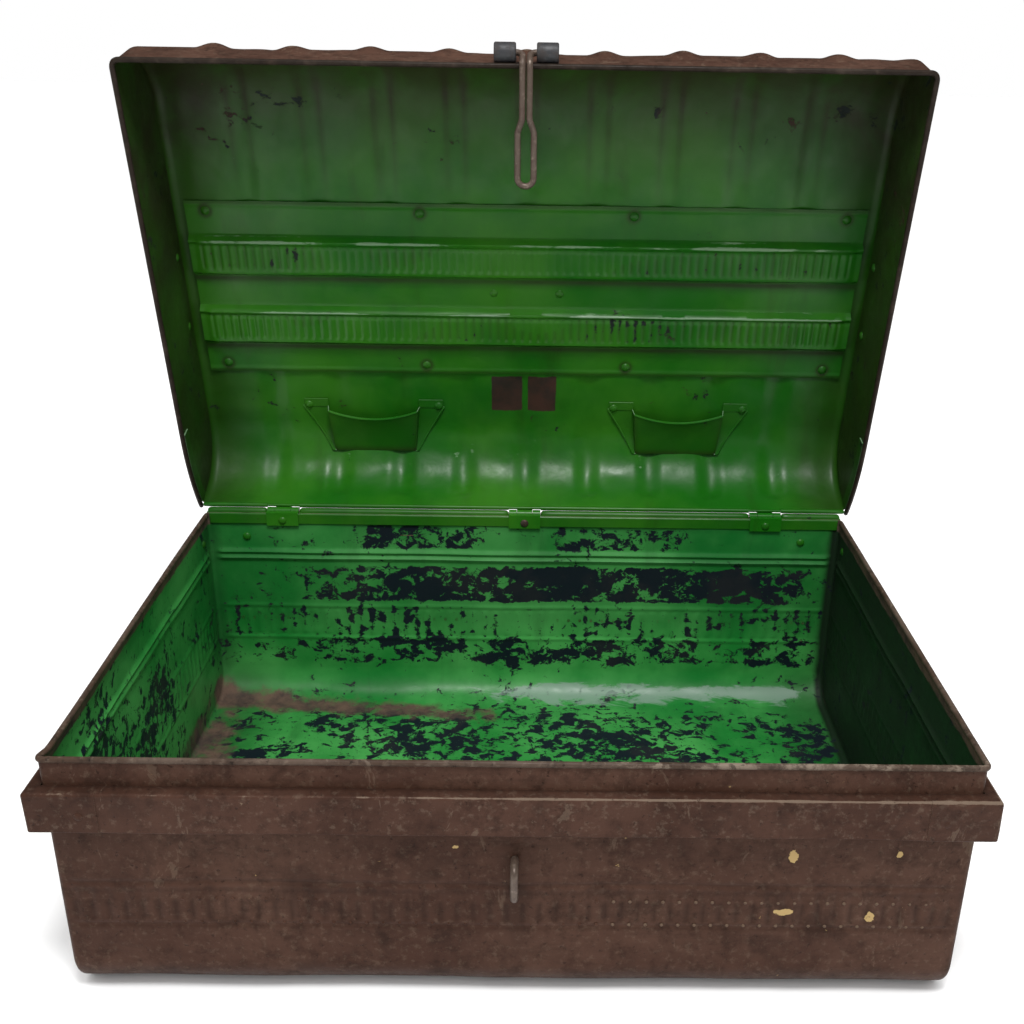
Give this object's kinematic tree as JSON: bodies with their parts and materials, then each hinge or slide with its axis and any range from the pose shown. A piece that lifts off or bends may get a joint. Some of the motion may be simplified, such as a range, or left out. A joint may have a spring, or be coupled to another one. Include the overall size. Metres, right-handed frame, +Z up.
{
  "type": "tin trunk",
  "caption": "Sheet-steel trunk with a hinged, ribbed lid that closes over a stepped neck, a long wire hasp over a staple, two lid pockets and a drop handle at each end.",
  "frame": {"origin": "middle of the flat base, on the ground plane", "axes": "+Z up, -Y the front with the staple and the hasp, +X to the right of a viewer facing the front; the lid is hinged along the +Y wall"},
  "size_m": [0.654, 0.5064, 0.6331],
  "materials": {
    "painted_shell": "old brown enamel outside and green inside, chipped",
    "painted_band": "old brown enamel, rubbed lighter on the ledge",
    "worn_edge": "wired edge, paint rubbed through",
    "green_lid": "semi-gloss green enamel inside, brown outside",
    "green_trim": "semi-gloss green enamel",
    "fittings": "rusty iron with old brown paint",
    "bare_wire": "worn round iron wire",
    "barrel_iron": "dark grey enamel",
    "pin_steel": "dull steel"
  },
  "bodies": {
    "trunk": {"body_wrap": "painted_shell", "body_end_left": "painted_shell", "body_end_right": "painted_shell", "body_rim_roll": "worn_edge", "body_back_roll": "worn_edge", "back_rim_strip": "green_trim", "band_front": "painted_band", "band_back": "painted_band", "band_left": "painted_band", "band_right": "painted_band", "neck_rivets": "green_trim", "staple": "fittings", "staple_backing": "green_trim", "hinge_body_leaf_left": "fittings", "hinge_body_leaf_middle": "fittings", "hinge_body_leaf_right": "fittings", "hinge_pin_left": "pin_steel", "hinge_pin_middle": "pin_steel", "hinge_pin_right": "pin_steel", "hinge_body_rivets": "fittings", "handle_bracket_left": "fittings", "handle_bracket_right": "fittings", "handle_rivets": "fittings"},
    "lid": {"lid_wrap": "green_lid", "lid_end_left": "green_lid", "lid_end_right": "green_lid", "lid_rim_roll": "worn_edge", "lid_back_roll": "worn_edge", "lid_gusset_left": "green_trim", "lid_gusset_right": "green_trim", "lid_centre_panel": "green_trim", "lid_panel_rivets": "green_trim", "lid_pocket_left": "green_trim", "lid_pocket_right": "green_trim", "lid_pocket_rivets": "green_trim", "hinge_lid_leaf_left": "fittings", "hinge_lid_leaf_middle": "fittings", "hinge_lid_leaf_right": "fittings", "hinge_lid_rivets": "fittings", "hasp_barrel_left": "barrel_iron", "hasp_barrel_right": "barrel_iron", "hasp_rivets": "barrel_iron"},
    "hasp": {"hasp_link": "bare_wire"},
    "handle_left": {"handle_left": "fittings"},
    "handle_right": {"handle_right": "fittings"}
  },
  "joints": [
    {"name": "lid_hinge", "type": "hinge", "parent": "trunk", "child": "lid", "pos_m": [0, 0.2148, 0.2], "axis": [1, 0, 0], "range_deg": [0, 78]},
    {"name": "hasp_swing", "type": "hinge", "parent": "lid", "child": "hasp", "pos_m": [0, 0.11206, 0.62564], "axis": [1, 0, 0], "range_deg": [-78, 0]},
    {"name": "handle_left_swing", "type": "hinge", "parent": "trunk", "child": "handle_left", "pos_m": [-0.321, 0, 0.12], "axis": [0, 1, 0], "range_deg": [-5, 160]},
    {"name": "handle_right_swing", "type": "hinge", "parent": "trunk", "child": "handle_right", "pos_m": [0.321, 0, 0.12], "axis": [0, -1, 0], "range_deg": [-5, 160]}
  ],
  "couplings": [
    {"joint": "hasp_swing", "follows": "lid_hinge", "ratio": -1}
  ]
}
